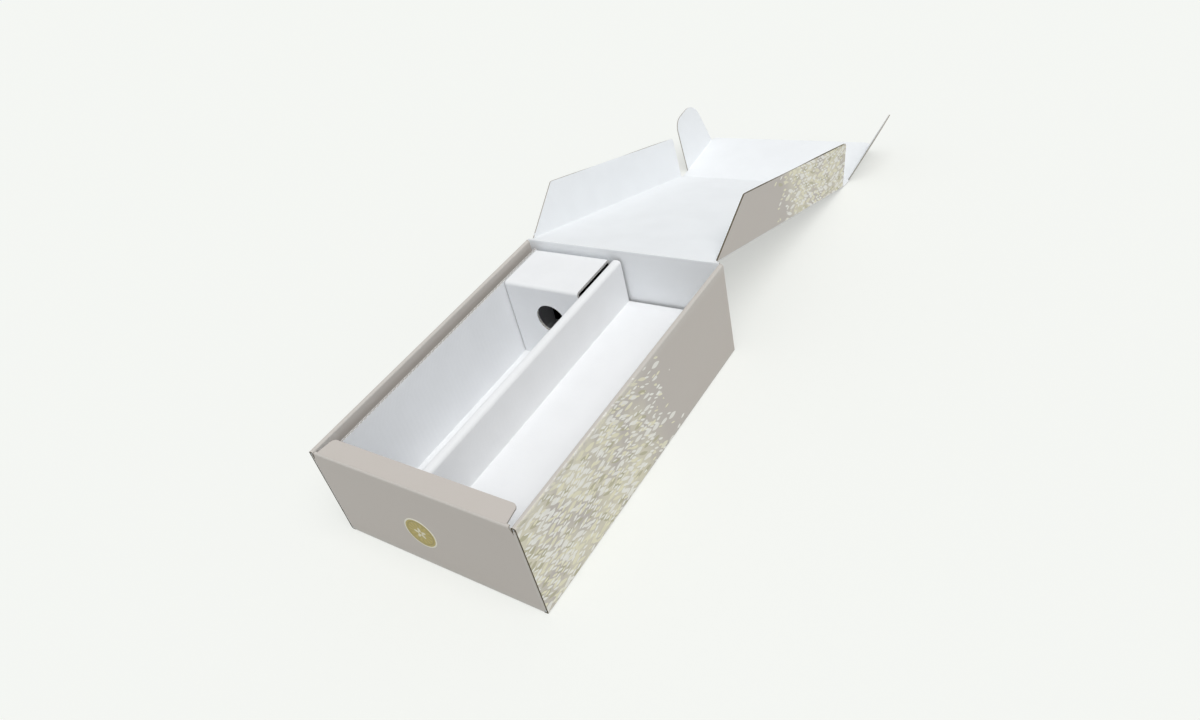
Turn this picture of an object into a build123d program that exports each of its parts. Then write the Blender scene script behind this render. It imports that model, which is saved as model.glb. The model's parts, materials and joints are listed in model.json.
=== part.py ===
from build123d import *
from math import asin, degrees

# A bottle gift carton: one die-cut carton blank folded to a tray with a hinged lid and lock
# flaps, and a loose folded insert that makes two bottle bays and a perforated neck support.
# X runs across the carton, +Y from its front to its hinge, +Z up from the surface it stands on.

# Driving dimensions of the carton, in millimetres
carton_width = 250.0
carton_length = 374.0
carton_height = 112.0
carton_board = 1.6
insert_board = 3.0

# Folds and clearances
carton_fold_radius = 0.4
insert_fold_radius = 1.0
ply_gap = 0.2
crease_gap = 0.3
slide_gap = 0.5
seat_gap = 0.1
overrun = 5.0

# Tray details
side_set_back = 0.4
corner_tab_length = 58.0
corner_tab_foot = 4.0
corner_notch = 5.0
lock_tab_width = 34.0
lock_tab_spacing = 170.0
lock_tab_rise = 0.3
ledge_depth = 23.0
ledge_taper = 3.0
ledge_corner_radius = 6.0

# Lid, its flaps and the angles at which they stand open
lid_length = 366.0
lid_floor_gap = 0.3
lid_crease_gap = 0.6
side_flap_height = 56.0
side_flap_start = 3.0
side_flap_bevel = 60.0
side_flap_end_gap = 2.5
side_flap_corner_radius = 5.0
right_flap_angle = 90.0
left_flap_angle = 75.0
front_flap_length = 101.0
front_flap_corner_radius = 14.0
front_flap_angle = 23.0
ear_start = 14.0
ear_end = 95.0
ear_reach = 70.0
ear_near_slope = 20.0
ear_far_slope = 6.0
ear_near_radius = 20.0
ear_far_radius = 26.0
right_ear_angle = 60.0
left_ear_angle = 77.0

# Insert: bays, divider, raised bed and neck support
insert_side_gap = 7.9
insert_front_gap = 9.4
insert_back_gap = 3.4
insert_height = 104.0
divider_left_face = -6.0
divider_right_face = 5.0
divider_height = 103.0
bed_height = 49.0
front_relief_length = 18.0
front_relief_height = 20.0
neck_support_depth = 68.0
neck_support_side_gap = 1.0
neck_support_slot = 3.5
neck_hole_diameter = 38.0
neck_hole_height = 61.0
neck_hole_offset = 4.0

# Round seal stuck on the front wall
seal_diameter = 38.0
seal_thickness = 0.3
seal_centre_x = -6.0
seal_centre_z = 47.5

# Places that follow from the sizes above
half_board = carton_board / 2
fold_middle = carton_fold_radius + half_board
fold_outside = carton_fold_radius + carton_board
outer_wall_x = carton_width / 2 - half_board
tab_x = outer_wall_x - carton_board - ply_gap
inner_wall_x = tab_x - carton_board - ply_gap
inner_face_x = inner_wall_x - half_board
end_wall_y = carton_length / 2 - half_board
end_face_y = end_wall_y - half_board
rim_middle_z = carton_height - half_board
hinge_z = carton_height + half_board + ply_gap
right_ear_x = inner_face_x - slide_gap - half_board
flap_fold_x = right_ear_x - carton_board - slide_gap
left_ear_x = flap_fold_x - carton_board - 2 * slide_gap
lid_drop = degrees(asin((hinge_z - half_board - lid_floor_gap) / lid_length))
crease_start = half_board + crease_gap
ledge_root_y = -end_wall_y + fold_middle + ply_gap
insert_side_x = inner_face_x - insert_side_gap - insert_board / 2
insert_front_y = -end_face_y + insert_front_gap
insert_back_y = end_face_y - insert_back_gap
insert_floor_z = carton_board + insert_board


def offset_corner(before, corner, after, distance):
    """The corner of a line that runs beside two straight runs, at a distance to their left."""
    normals = []
    for start, end in ((before, corner), (corner, after)):
        run = Vector(*end) - Vector(*start)
        normals.append(Vector(-run.Y, run.X).normalized())
    bisector = normals[0] + normals[1]
    return Vector(*corner) + bisector * (2 * distance / bisector.dot(bisector))


def folded_section(points, board, inside_radius):
    """The cut end of a board folded along points, the middle line of its thickness."""
    sides = []
    for side in (1, -1):
        distance = side * board / 2
        line = []
        radii = []
        for index, corner in enumerate(points):
            before = points[index - 1] if index else None
            after = points[index + 1] if index + 1 < len(points) else None
            if before is None or after is None:
                run = Vector(*(after or corner)) - Vector(*(before or corner))
                line.append(Vector(*corner) + Vector(-run.Y, run.X).normalized() * distance)
                continue
            line.append(offset_corner(before, corner, after, distance))
            arriving = Vector(*corner) - Vector(*before)
            leaving = Vector(*after) - Vector(*corner)
            turn = arriving.X * leaving.Y - arriving.Y * leaving.X
            radii.append(inside_radius if turn * side > 0 else inside_radius + board)
        sides.append((line, radii))
    edges = []
    for line, radii in sides:
        edges += FilletPolyline(*line, radius=radii).edges()
    for end in (0, -1):
        edges.append(Line(sides[0][0][end], sides[1][0][end]))
    return make_face(edges)


def plate(points, board, radii=()):
    """A flat piece of board with the outline points, each listed corner rounded."""
    face = make_face(Polyline(*points, close=True).edges())
    for corner, radius in radii:
        place = Vector(*corner)
        nearest = min(face.vertices(), key=lambda vertex: (Vector(vertex) - place).length)
        face = fillet(nearest, radius)
    return extrude(face, amount=board / 2, both=True)


def crease_bead(start, end):
    """The rounded edge of board along a crease, from start to end."""
    middle = (Vector(*start) + Vector(*end)) / 2
    run = Vector(*end) - Vector(*start)
    return Plane(origin=middle, z_dir=run) * Cylinder(half_board, run.length)


def end_walls_and_base():
    """Front wall with the root of its ledge, base and back wall, folded as one strip."""
    points = [
        (ledge_root_y, rim_middle_z),
        (-end_wall_y, rim_middle_z),
        (-end_wall_y, half_board),
        (end_wall_y, half_board),
        (end_wall_y, hinge_z),
    ]
    section = Plane.YZ * folded_section(points, carton_board, carton_fold_radius)
    half_width = tab_x - fold_middle
    hinge_bead = crease_bead((-half_width, end_wall_y, hinge_z), (half_width, end_wall_y, hinge_z))
    return extrude(section, amount=half_width, both=True) + hinge_bead


def rolled_side_wall():
    """Right-hand wall: up from the base, over the rim and down again inside, with lock tabs."""
    foot = fold_outside + carton_board
    points = [
        (outer_wall_x - foot, half_board),
        (outer_wall_x, half_board),
        (outer_wall_x, rim_middle_z),
        (inner_wall_x, rim_middle_z),
        (inner_wall_x, carton_board + seat_gap),
    ]
    section = Plane.XZ * folded_section(points, carton_board, carton_fold_radius)
    half_length = carton_length / 2 - side_set_back
    wall = extrude(section, amount=half_length, both=True)
    tab_height = carton_board + seat_gap + overrun - lock_tab_rise
    for side in (1, -1):
        relief = Box(carton_width, fold_outside, fold_outside)
        wall -= Pos(0, side * (carton_length - fold_outside) / 2, fold_outside / 2) * relief
    for side in (1, -1):
        place = Pos(inner_wall_x, side * lock_tab_spacing / 2, lock_tab_rise + tab_height / 2)
        wall -= Pos(inner_wall_x, side * lock_tab_spacing / 2, half_board) * lock_slot()
        wall += place * Box(carton_board, lock_tab_width, tab_height)
    return wall


def lock_slot():
    """The slot through the base that takes one lock tab."""
    return Box(carton_board + 2 * crease_gap, lock_tab_width + 2 * crease_gap, carton_board)


def corner_tabs():
    """Front wall's tabs, folded back along both sides between the two layers of side wall."""
    points = [
        (tab_x, -end_wall_y + corner_tab_length),
        (tab_x, -end_wall_y),
        (-tab_x, -end_wall_y),
        (-tab_x, -end_wall_y + corner_tab_length),
    ]
    section = folded_section(points, carton_board, carton_fold_radius)
    height = carton_height - corner_notch - corner_tab_foot
    return Pos(0, 0, corner_tab_foot) * extrude(section, amount=height)


def carton_tray():
    """Base and four walls, folded from one blank."""
    tray = end_walls_and_base()
    for side in (1, -1):
        for end in (1, -1):
            place = Pos(side * inner_wall_x, end * lock_tab_spacing / 2, half_board)
            tray -= place * lock_slot()
    right = rolled_side_wall()
    front_tabs = corner_tabs()
    tray += [right, mirror(right, about=Plane.YZ)]
    tray += [front_tabs, mirror(front_tabs, about=Plane.XZ)]
    return tray


def front_ledge():
    """The stiffening flap that turns inwards from the top of the front wall."""
    root = ledge_root_y + ply_gap
    free = -carton_length / 2 + ledge_depth
    root_x = flap_fold_x - half_board - 2 * slide_gap
    free_x = root_x - ledge_taper
    corners = [(free_x, free), (-free_x, free)]
    points = [(-root_x, root), (root_x, root), *corners]
    ledge = plate(points, carton_board, [(corner, ledge_corner_radius) for corner in corners])
    return Pos(0, 0, rim_middle_z) * ledge


def lid_panel():
    """The top panel, with a rounded crease along its sides and its front edge."""
    start = half_board + lid_crease_gap
    points = [
        (-flap_fold_x, start),
        (flap_fold_x, start),
        (flap_fold_x, lid_length),
        (-flap_fold_x, lid_length),
    ]
    panel = plate(points, carton_board)
    for side in (1, -1):
        panel += crease_bead((side * flap_fold_x, start, 0), (side * flap_fold_x, lid_length, 0))
    panel += crease_bead((-flap_fold_x, lid_length, 0), (flap_fold_x, lid_length, 0))
    return panel


def side_flap(side):
    """A lid's side flap laid flat beside its crease, bevelled to swing past the hinge."""
    end = lid_length - side_flap_end_gap
    near = (side * side_flap_height, side_flap_start + side_flap_bevel)
    far = (side * side_flap_height, end)
    points = [
        (side * crease_start, side_flap_start + crease_start),
        near,
        far,
        (side * crease_start, end),
    ]
    corners = [(near, side_flap_corner_radius), (far, side_flap_corner_radius)]
    return plate(points, carton_board, corners)


def front_flap():
    """The lid's tuck flap, with a rounded crease at each end for its ears."""
    shoulder = ear_start - crease_gap
    corners = [(right_ear_x, front_flap_length), (-left_ear_x, front_flap_length)]
    points = [
        (-left_ear_x, crease_start),
        (flap_fold_x, crease_start),
        (right_ear_x, shoulder),
        *corners,
    ]
    rounded = min(front_flap_corner_radius, front_flap_length - ear_end + fold_outside)
    flap = plate(points, carton_board, [(corner, rounded) for corner in corners])
    for crease_x in (right_ear_x, -left_ear_x):
        end = (crease_x, front_flap_length - rounded, 0)
        flap += crease_bead((crease_x, shoulder, 0), end)
    return flap


def lock_ear(side):
    """A rounded ear laid flat beside the tuck flap's end."""
    near = (side * ear_reach, ear_start + ear_near_slope)
    far = (side * ear_reach, ear_end - ear_far_slope)
    points = [(side * crease_start, ear_start), near, far, (side * crease_start, ear_end)]
    return plate(points, carton_board, [(near, ear_near_radius), (far, ear_far_radius)])


def bottle_insert():
    """One board folded to a side wall, a bay floor, a double divider and a raised bed with a leg."""
    middle = insert_board / 2
    floor_z = carton_board + middle
    points = [
        (-insert_side_x, insert_height),
        (-insert_side_x, floor_z),
        (divider_left_face + middle, floor_z),
        (divider_left_face + middle, divider_height - middle),
        (divider_right_face - middle, divider_height - middle),
        (divider_right_face - middle, bed_height - middle),
        (insert_side_x, bed_height - middle),
        (insert_side_x, carton_board),
    ]
    section = Plane.XZ * folded_section(points, insert_board, insert_fold_radius)
    length = insert_back_y - insert_front_y
    insert = Pos(0, insert_back_y, 0) * extrude(section, amount=length)
    relief_points = [
        (insert_front_y - overrun, insert_height - front_relief_height),
        (insert_front_y, insert_height - front_relief_height),
        (insert_front_y + front_relief_length, insert_height),
        (insert_front_y + front_relief_length, insert_height + overrun),
        (insert_front_y - overrun, insert_height + overrun),
    ]
    relief = Plane.YZ * make_face(Polyline(*relief_points, close=True).edges())
    return insert - extrude(relief, amount=carton_width, both=True)


def neck_support():
    """A folded bridge that stands in the left bay, with a round hole for a bottle's neck."""
    middle = insert_board / 2
    front_y = insert_back_y - neck_support_depth + middle
    back_y = insert_back_y - middle
    top_z = insert_height - middle
    points = [
        (front_y, insert_floor_z),
        (front_y, top_z),
        (back_y, top_z),
        (back_y, insert_floor_z),
    ]
    left = -insert_side_x + middle + neck_support_side_gap
    right = divider_left_face - neck_support_slot
    section = Plane.YZ * folded_section(points, insert_board, insert_fold_radius)
    bridge = Pos(left, 0, 0) * extrude(section, amount=right - left)
    hole_x = (left + right) / 2 + neck_hole_offset
    drill = Plane(origin=(hole_x, front_y, neck_hole_height), z_dir=(0, 1, 0))
    return bridge - drill * Cylinder(neck_hole_diameter / 2, insert_board + overrun)


def seal_sticker():
    """A round seal on the outside of the front wall."""
    face_y = -carton_length / 2 - seal_thickness / 2
    place = Plane(origin=(seal_centre_x, face_y, seal_centre_z), z_dir=(0, -1, 0))
    return place * Cylinder(seal_diameter / 2, seal_thickness)


# Where each flap hangs on its crease: turned up from flat by its fold
lid_place = Location((0, end_wall_y, hinge_z), (-lid_drop, 0, 0))
right_flap_place = lid_place * Location((flap_fold_x, 0, 0), (0, -right_flap_angle, 0))
left_flap_place = lid_place * Location((-flap_fold_x, 0, 0), (0, left_flap_angle, 0))
front_flap_place = lid_place * Location((0, lid_length, 0), (front_flap_angle, 0, 0))
right_ear_place = front_flap_place * Location((right_ear_x, 0, 0), (0, -right_ear_angle, 0))
left_ear_place = front_flap_place * Location((-left_ear_x, 0, 0), (0, left_ear_angle, 0))

nodes = {
    "carton_tray": carton_tray(),
    "front_ledge": front_ledge(),
    "lid_panel": lid_place * lid_panel(),
    "lid_right_flap": right_flap_place * side_flap(1),
    "lid_left_flap": left_flap_place * side_flap(-1),
    "lid_front_flap": front_flap_place * front_flap(),
    "right_lock_ear": right_ear_place * lock_ear(1),
    "left_lock_ear": left_ear_place * lock_ear(-1),
    "bottle_insert": bottle_insert(),
    "neck_support": neck_support(),
    "seal_sticker": seal_sticker(),
}

for name, solid in nodes.items():
    export_step(solid, f"parts/{name}.step")
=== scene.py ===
import json
from math import atan2, ceil, cos, degrees, dist, pi, radians, sin, sqrt, tan

import bmesh
import bpy
import numpy as np
from bpy.props import FloatProperty, FloatVectorProperty, PointerProperty
from mathutils import Matrix, Vector


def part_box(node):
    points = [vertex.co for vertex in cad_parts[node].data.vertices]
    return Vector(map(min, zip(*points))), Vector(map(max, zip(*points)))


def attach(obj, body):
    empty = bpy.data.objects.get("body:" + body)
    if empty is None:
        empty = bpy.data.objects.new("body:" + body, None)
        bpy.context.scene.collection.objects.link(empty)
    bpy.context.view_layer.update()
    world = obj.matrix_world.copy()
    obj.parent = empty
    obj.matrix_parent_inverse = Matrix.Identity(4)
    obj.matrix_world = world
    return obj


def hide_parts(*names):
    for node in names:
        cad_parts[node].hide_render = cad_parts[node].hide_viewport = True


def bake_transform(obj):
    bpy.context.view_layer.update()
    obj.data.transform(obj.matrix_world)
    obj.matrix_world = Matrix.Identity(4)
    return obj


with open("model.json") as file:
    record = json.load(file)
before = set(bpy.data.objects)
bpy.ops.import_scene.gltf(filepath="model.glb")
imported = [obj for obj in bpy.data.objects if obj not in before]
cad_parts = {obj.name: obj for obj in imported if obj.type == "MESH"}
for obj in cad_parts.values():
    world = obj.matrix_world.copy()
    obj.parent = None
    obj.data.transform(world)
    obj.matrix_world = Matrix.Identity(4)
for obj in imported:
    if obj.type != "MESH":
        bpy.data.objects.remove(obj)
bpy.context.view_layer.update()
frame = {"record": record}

bl_info = {
    "name": "Bottle gift carton",
    "version": (1, 0, 0),
    "blender": (4, 5, 0),
    "location": "3D View > Sidebar > Carton",
    "description": "Dresses the folded carton's CAD frame as printed and lined corrugated board",
    "category": "Object",
}

# All lengths are in metres, in the frame of the CAD model
MM = 0.001

# Meshes: distances between points, extra points beside an edge, points of curves, and the weld
FINE_STEP = 4 * MM
BORDERS = (0.6 * MM, 2 * MM)
FOLD_POINTS = 7
RIM_POINTS = 9
RING_POINTS = 96
WELD_DISTANCE = 0.002 * MM
SHARP_ANGLE = radians(35)

# Places that the frame gives: boxes, the board and the creases that the joints turn about
TRAY_HIGH = np.array(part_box("carton_tray")[1])
LEDGE_LOW, LEDGE_HIGH = np.array(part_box("front_ledge"))
INSERT_LOW, INSERT_HIGH = np.array(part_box("bottle_insert"))
SUPPORT_LOW, SUPPORT_HIGH = np.array(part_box("neck_support"))
SEAL_LOW, SEAL_HIGH = np.array(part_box("seal_sticker"))
CREASES = {joint["name"]: joint for joint in frame["record"]["behaviour"]["joints"]}
BOARD = float(LEDGE_HIGH[2] - LEDGE_LOW[2])
HALF_BOARD = BOARD / 2
HINGE = np.array(CREASES["lid_hinge"]["pos_m"])
LID_FAR = np.array(CREASES["front_flap_fold"]["pos_m"])
LID_LENGTH = dist(HINGE, LID_FAR)
LID_TURN = degrees(atan2(LID_FAR[2] - HINGE[2], LID_FAR[1] - HINGE[1]))
FLAP_X = CREASES["right_flap_fold"]["pos_m"][0]
RIGHT_EAR_X = CREASES["right_ear_fold"]["pos_m"][0]
LEFT_EAR_X = CREASES["left_ear_fold"]["pos_m"][0]
FLAP_AXIS = CREASES["left_ear_fold"]["axis"]
FRONT_FLAP_TURN = degrees(atan2(FLAP_AXIS[2], FLAP_AXIS[1])) - LID_TURN

# Tray
RIM_Z = LEDGE_HIGH[2]
FOLD_RADIUS = 0.4 * MM + HALF_BOARD
PLY_GAP = 0.2 * MM
OUTER_WALL_X = TRAY_HIGH[0] - HALF_BOARD
TAB_X = OUTER_WALL_X - BOARD - PLY_GAP
INNER_WALL_X = TAB_X - BOARD - PLY_GAP
END_WALL_Y = TRAY_HIGH[1] - HALF_BOARD
SIDE_SET_BACK = 0.4 * MM
TAB_LENGTH = 58 * MM
TAB_FOOT = 4 * MM
TAB_NOTCH = 5 * MM
CORNER_NOTCH = 3.6 * MM
LOCK_WIDTH = 34 * MM
LOCK_SPACING = 170 * MM
LOCK_FOOT = 0.3 * MM
LEDGE_TAPER = 3 * MM
LEDGE_ROUND = 6 * MM

# Lid, flaps and ears: the angles are how far each is folded up from flat
LID_START = HALF_BOARD + 0.1 * MM
CREASE_START = HALF_BOARD + 0.05 * MM
SIDE_FLAP_HEIGHT = 56 * MM
SIDE_FLAP_START = 3 * MM
SIDE_FLAP_BEVEL = 60 * MM
SIDE_FLAP_END = LID_LENGTH - 2.5 * MM
SIDE_FLAP_ROUND = 5 * MM
RIGHT_FLAP_FOLD = 90
LEFT_FLAP_FOLD = 75
FRONT_FLAP_LENGTH = 101 * MM
FRONT_FLAP_ROUND = 8 * MM
EAR_START = 14 * MM
EAR_END = 95 * MM
EAR_REACH = 70 * MM
EAR_NEAR_SLOPE = 20 * MM / EAR_REACH
EAR_FAR_SLOPE = 6 * MM / EAR_REACH
EAR_NEAR_ROUND = 20 * MM
EAR_FAR_ROUND = 26 * MM
RIGHT_EAR_FOLD = 60
LEFT_EAR_FOLD = 77

# Strips of paper that bridge the creases
STRIP_BOARD = 0.12 * MM
STRIP_LIFT = HALF_BOARD + 0.6 * STRIP_BOARD
STRIP_REACH = 5 * MM
STRIP_ROUND = 2 * MM
STRIP_INSET = 1 * MM
STRIP_STEP = 6 * MM
STRIP_FOLD_STEP = 0.7 * MM
HINGE_STRIP_REACH = 4 * MM
HINGE_STRIP_ROUND = 1.2 * MM
LEDGE_STRIP_REACH = 1.2 * MM
FLAP_STRIP_START = SIDE_FLAP_START + 3 * MM
EAR_STRIP_START = EAR_START + 2.5 * MM
EAR_STRIP_END = EAR_END - 2 * MM

# Insert and its neck support
INSERT_BOARD = 3 * MM
INSERT_FOLD = 1 * MM + INSERT_BOARD / 2
SUPPORT_SEAM = 0.01 * MM
DIVIDER_LEFT = -6 * MM
DIVIDER_RIGHT = 5 * MM
DIVIDER_TOP = 103 * MM
BED_TOP = 49 * MM
RELIEF_LENGTH = 18 * MM
RELIEF_HEIGHT = 20 * MM
NECK_HOLE = frame["record"]["mounts"][1]
NECK_RADIUS = NECK_HOLE["dims"]["r_mm"] * MM

# Seal: its rings from the middle of its back round to the middle of its face, as shares of the radius
SEAL_RINGS = (0, 1, 1, 0.985, 0.95, 0.86, 0.7, 0.4, 0.1, 0)
SEAL_SHOULDER = 0.4

# The camera that the photograph was matched with: its place and the directions of its picture
CAMERA_PLACE = (0.4987, -0.4820, 0.6067)
CAMERA_RIGHT = (0.78004, 0.56641, -0.26593)
CAMERA_DOWN = (0.20455, -0.63246, -0.74710)
CAMERA_FORWARD = (-0.59135, 0.52837, -0.60920)
CAMERA_LENS = 26.08
CAMERA_SENSOR = 36
CAMERA_SHIFT = (0.0784, 0.0276)

# Studio light: an even sky, one broad lamp from above the right-hand front, and the floor's bounce
SKY_COLOUR = (0.97, 0.985, 1.0)
SKY_STRENGTH = 0.48
KEY_STRENGTH = 1.8
KEY_COLOUR = (1.0, 0.985, 0.96)
KEY_DIRECTION = (0.37, -0.21, 0.91)
KEY_SPREAD = radians(50)
FLOOR_BOUNCE = 0.66
FLOOR_GLOW = 0.55
FLOOR_REACH = 9
FLOOR_DROP = 0.02 * MM


def length_property(label, words, default):
    """A length that a user may change."""
    return FloatProperty(name=label, description=words, default=default, unit="LENGTH")


def colour_property(label, words, default):
    """A colour that a user may change."""
    return FloatVectorProperty(
        name=label, description=words, default=default, subtype="COLOR", size=3, min=0, max=1)


class CartonShapes(bpy.types.PropertyGroup):
    """Sizes of the finish that a user may change."""

    mesh_step: length_property("Mesh step", "Distance between the points of a panel's surface", 8 * MM)
    carton_flute: length_property("Carton flute", "Pitch of the waves in the carton's board", 3.2 * MM)
    insert_flute: length_property("Insert flute", "Pitch of the waves in the insert's board", 6.4 * MM)
    panel_bow: length_property("Panel bow", "How far a broad panel strays from flat", 0.35 * MM)
    leaf_length: length_property("Leaf length", "Length of the pattern's larger leaves", 15 * MM)


class CartonColours(bpy.types.PropertyGroup):
    """Colours of the print, the boards, the seal and the stage, as linear values."""

    print_ground: colour_property("Print ground", "The taupe outside of the carton", (0.565, 0.525, 0.490))
    print_worn: colour_property("Worn print", "The print along folds and edges", (0.600, 0.585, 0.555))
    liner: colour_property("Liner", "The white inside of the carton", (0.875, 0.900, 0.925))
    insert_liner: colour_property("Insert liner", "Both faces of the insert", (0.870, 0.885, 0.905))
    cut_edge: colour_property("Cut edge", "Paper in the board's cut edges", (0.700, 0.670, 0.620))
    # The flute hollows' colour is painted shade for the cavities between the board's waves
    painted_hollow_shade: colour_property("Cut gap", "The hollows between the board's waves", (0.360, 0.340, 0.310))
    # Dark brown: the board's kraft core, made darker still as painted shade for the shadowed gaps at the side
    # walls' ends and the right flap's edges
    edge_with_painted_shade: colour_property("Raw edge", "Brown paper in the side walls' ends", (0.190, 0.160, 0.105))
    # Near black: painted shade for the shut-in inside of the neck support, so that the neck hole reads dark
    painted_shade_board: colour_property("Bare board", "The unlined inside of the neck support", (0.006, 0.006, 0.006))
    pearl: colour_property("Pearl", "The palest leaves of the pattern", (0.930, 0.925, 0.880))
    cream: colour_property("Cream", "The warm leaves of the pattern", (0.860, 0.830, 0.630))
    olive: colour_property("Olive", "The darkest leaves of the pattern", (0.480, 0.455, 0.300))
    gold: colour_property("Gold", "The seal's foil", (0.440, 0.355, 0.085))
    seal_rim: colour_property("Seal rim", "The seal's border", (0.830, 0.810, 0.700))
    floor: colour_property("Floor", "The pale floor and what shows behind it", (0.915, 0.932, 0.905))


# Surfaces as arrays


def stations(start, end, step, borders=()):
    """Places from start to end about a step apart, and more of them at set distances from both ends."""
    count = max(2, ceil(abs(end - start) / step) + 1)
    near = np.array([border for border in borders if 2 * border < abs(end - start)])
    way = 1 if end > start else -1
    places = np.concatenate([np.linspace(start, end, count), start + way * near, end - way * near])
    places = np.unique(np.round(places, 7))
    return places[::way]


def rounded_path(corners, radius, step):
    """A line through corners: straight runs cut every step, joined by arcs.

    Where the line turns by an angle t, the arc starts radius * tan(t / 2) before the corner and its
    points are the centre plus the radius turned evenly through t. Returns the points and a mark that
    is 1 on the arcs and 0 on the runs.
    """
    corners = np.asarray(corners, float)
    leave = corners[0]
    points = []
    marks = []
    for before, corner, after in zip(corners[:-2], corners[1:-1], corners[2:]):
        arriving = (corner - before) / np.linalg.norm(corner - before)
        leaving = (after - corner) / np.linalg.norm(after - corner)
        turn = atan2(arriving[0] * leaving[1] - arriving[1] * leaving[0], arriving @ leaving)
        if abs(turn) < 0.001:
            continue
        start = corner - arriving * radius * tan(abs(turn) / 2)
        inward = np.sign(turn) * np.array([-arriving[1], arriving[0]])
        angles = np.linspace(0, turn, FOLD_POINTS)[:, None]
        spoke = -inward
        arc = start + inward * radius
        arc = arc + radius * (np.cos(angles) * spoke + np.sin(angles) * np.array([-spoke[1], spoke[0]]))
        count = max(2, ceil(np.linalg.norm(start - leave) / step) + 1)
        run = leave + (start - leave) * np.linspace(0, 1, count)[:-1, None]
        points += [run, arc]
        marks += [np.zeros(len(run)), np.ones(len(arc))]
        leave = arc[-1]
    count = max(2, ceil(np.linalg.norm(corners[-1] - leave) / step) + 1)
    points.append(leave + (corners[-1] - leave) * np.linspace(0, 1, count)[1:, None])
    marks.append(np.zeros(count - 1))
    return np.concatenate(points), np.concatenate(marks)


def carried(path, places, axis):
    """A flat path carried along one axis: the grid's rows follow the path, its columns the places."""
    first, second = (index for index in range(3) if index != axis)
    grid = np.empty((len(path), len(places), 3))
    grid[..., first] = path[:, None, 0]
    grid[..., second] = path[:, None, 1]
    grid[..., axis] = places[None, :]
    return grid


def flat_sheet(rows, low, high, step):
    """A flat grid in the XY plane: for each row, at its X, points spread evenly from Y low to Y high."""
    count = ceil(float(np.max(high - low)) / step) + 1
    share = stations(0, 1, 1 / count, (0.004, 0.012))
    grid = np.zeros((len(rows), len(share), 3))
    grid[..., 0] = rows[:, None]
    grid[..., 1] = low[:, None] + (high - low)[:, None] * share[None, :]
    return grid


def rounded_edge(height, start, slope, top, radius):
    """The place of a slanting edge at each height, rounded into the top edge.

    The edge runs at start + slope * height. The circle that touches it and the top has its centre one
    radius below the top, and above the point where it touches the edge the place follows the circle.
    """
    lean = sqrt(1 + slope * slope)
    centre_height = top - radius
    centre = start + slope * centre_height + radius * lean
    touch = centre_height + radius * slope / lean
    circle = centre - np.sqrt(np.maximum(radius ** 2 - (height - centre_height) ** 2, 0))
    return np.where(height < touch, start + slope * height, circle)


def rising_rows(low, top, radius, step):
    """Heights from low to top, spread by the sine of an even angle over the last radius."""
    straight = stations(low, top - radius, step, BORDERS)
    curve = top - radius + radius * np.sin(np.linspace(0, pi / 2, 12))
    return np.concatenate([straight, curve[1:]])


def turned(grid, about, degrees_about, offset):
    """A grid turned about the X or Y axis through the origin and then moved."""
    c = cos(radians(degrees_about))
    s = sin(radians(degrees_about))
    turns = {"X": [[1, 0, 0], [0, c, -s], [0, s, c]], "Y": [[c, 0, s], [0, 1, 0], [-s, 0, c]]}
    return grid @ np.array(turns[about]).T + np.asarray(offset)


def on_lid(grid):
    """Moves a grid from the lid's own plane, with its hinge along X, to where the open lid lies."""
    return turned(grid, "X", LID_TURN, HINGE)


def on_front_flap(grid):
    """Moves a grid from the tuck flap's own plane to where the flap stands at the lid's far edge."""
    return on_lid(turned(grid, "X", FRONT_FLAP_TURN, (0, LID_LENGTH, 0)))


def surface_normals(grid, closed):
    """Unit normals of a grid: the cross product of its row and column directions."""
    down = np.gradient(grid, axis=0)
    if closed:
        along = np.roll(grid, -1, axis=1) - np.roll(grid, 1, axis=1)
    else:
        along = np.gradient(grid, axis=1)
    normal = np.cross(down, along)
    return normal / np.linalg.norm(normal, axis=2, keepdims=True)


def run_lengths(grid, axis):
    """Lengths along a grid's rows or columns, added up from the first."""
    steps = np.linalg.norm(np.diff(grid, axis=axis), axis=2)
    first = np.zeros_like(np.take(steps, [0], axis=axis))
    return np.concatenate([first, np.cumsum(steps, axis=axis)], axis=axis)


def bowed(grid, amount, waves):
    """Lifts a grid along its normals by amount times slow sine waves over its two parameters."""
    rows = np.linspace(0, 1, grid.shape[0])[:, None]
    columns = np.linspace(0, 1, grid.shape[1])[None, :]
    swell = np.sin(pi * rows) * np.sin(pi * waves * columns + 0.6)
    swell = swell + 0.5 * np.sin(2.3 * pi * rows + 1.1) * np.sin(pi * columns) * np.sin(pi * rows)
    return grid + amount * swell[..., None] * surface_normals(grid, closed=False)


def quads(rows, columns, start, closed, turn_over):
    """Corner numbers of a grid's faces, the points counted row by row from start."""
    last = columns if closed else columns - 1
    row, column = np.meshgrid(np.arange(rows - 1), np.arange(last), indexing="ij")
    following = (column + 1) % columns
    faces = np.stack([
        start + row * columns + column,
        start + row * columns + following,
        start + (row + 1) * columns + following,
        start + (row + 1) * columns + column,
    ], axis=-1).reshape(-1, 4)
    return faces[:, ::-1] if turn_over else faces


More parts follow.
